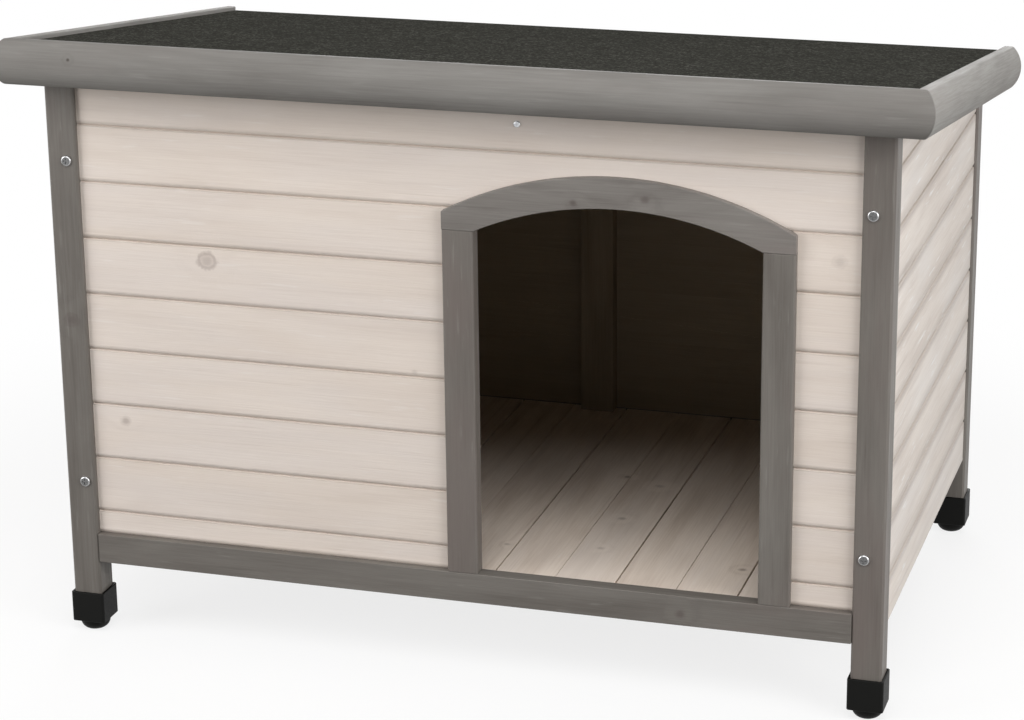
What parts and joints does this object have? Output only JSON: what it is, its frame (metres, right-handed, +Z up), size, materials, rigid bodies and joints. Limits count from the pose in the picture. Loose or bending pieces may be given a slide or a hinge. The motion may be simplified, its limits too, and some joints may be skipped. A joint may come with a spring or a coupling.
{
  "type": "dog house",
  "caption": "Raised wooden dog house with a hinged, felt-covered lean-to roof, an off-centre arched doorway, grey posts, pale plank walls and black levelling feet.",
  "frame": {"origin": "centre of the overall footprint, on the ground under the feet", "axes": "+X to the right seen from the front, +Y towards the hinged back, +Z up; the doorway faces -Y"},
  "size_m": [0.85, 0.535, 0.58],
  "materials": {
    "whitewashed_wood": "matt whitewash, grain showing",
    "grey_glazed_wood": "satin grey glaze, grain showing",
    "bare_wood": "planed, unpainted",
    "roofing_felt": "bitumen felt with fine mineral grains",
    "black_plastic": "moulded, satin",
    "zinc_steel": "zinc plated"
  },
  "bodies": {
    "house": {"back_bottom_rail": "grey_glazed_wood", "back_left_cap": "black_plastic", "back_left_post": "grey_glazed_wood", "back_right_cap": "black_plastic", "back_right_post": "grey_glazed_wood", "back_top_rail": "grey_glazed_wood", "back_wall_battens": "bare_wood", "back_wall_planks": "whitewashed_wood", "door_arch": "grey_glazed_wood", "fixed_leaf_screws": "zinc_steel", "floor_bearers": "bare_wood", "floor_boards": "whitewashed_wood", "front_bottom_rail": "grey_glazed_wood", "front_left_cap": "black_plastic", "front_left_post": "grey_glazed_wood", "front_plank_1": "whitewashed_wood", "front_plank_2": "whitewashed_wood", "front_plank_3": "whitewashed_wood", "front_plank_4": "whitewashed_wood", "front_plank_5": "whitewashed_wood", "front_plank_6": "whitewashed_wood", "front_plank_7": "whitewashed_wood", "front_plank_8": "whitewashed_wood", "front_plank_9": "whitewashed_wood", "front_right_cap": "black_plastic", "front_right_post": "grey_glazed_wood", "front_top_rail": "bare_wood", "front_wall_battens": "bare_wood", "left_door_jamb": "grey_glazed_wood", "left_hinge_fixed_leaf": "zinc_steel", "left_hinge_pin": "zinc_steel", "left_wall_battens": "bare_wood", "left_wall_planks": "whitewashed_wood", "post_screws": "zinc_steel", "right_door_jamb": "grey_glazed_wood", "right_hinge_fixed_leaf": "zinc_steel", "right_hinge_pin": "zinc_steel", "right_wall_battens": "bare_wood", "right_wall_planks": "whitewashed_wood", "top_rail_screw": "zinc_steel"},
    "roof": {"front_fascia": "grey_glazed_wood", "left_fascia": "grey_glazed_wood", "left_hinge_roof_leaf": "zinc_steel", "right_fascia": "grey_glazed_wood", "right_hinge_roof_leaf": "zinc_steel", "roof_felt": "roofing_felt", "roof_leaf_screws": "zinc_steel", "roof_panel": "bare_wood", "roof_rear_rail": "grey_glazed_wood"},
    "back_left_foot_body": {"back_left_foot": "black_plastic"},
    "back_right_foot_body": {"back_right_foot": "black_plastic"},
    "front_left_foot_body": {"front_left_foot": "black_plastic"},
    "front_right_foot_body": {"front_right_foot": "black_plastic"}
  },
  "joints": [
    {"name": "roof_hinge", "type": "hinge", "parent": "house", "child": "roof", "pos_m": [0, 0.2604, 0.4759], "axis": [-1, 0, 0], "range_deg": [0, 70]},
    {"name": "back_left_levelling", "type": "slide", "parent": "house", "child": "back_left_foot_body", "axis": [0, 0, -1], "range_m": [0, 0.012]},
    {"name": "back_right_levelling", "type": "slide", "parent": "house", "child": "back_right_foot_body", "axis": [0, 0, -1], "range_m": [0, 0.012]},
    {"name": "front_left_levelling", "type": "slide", "parent": "house", "child": "front_left_foot_body", "axis": [0, 0, -1], "range_m": [0, 0.012]},
    {"name": "front_right_levelling", "type": "slide", "parent": "house", "child": "front_right_foot_body", "axis": [0, 0, -1], "range_m": [0, 0.012]}
  ]
}
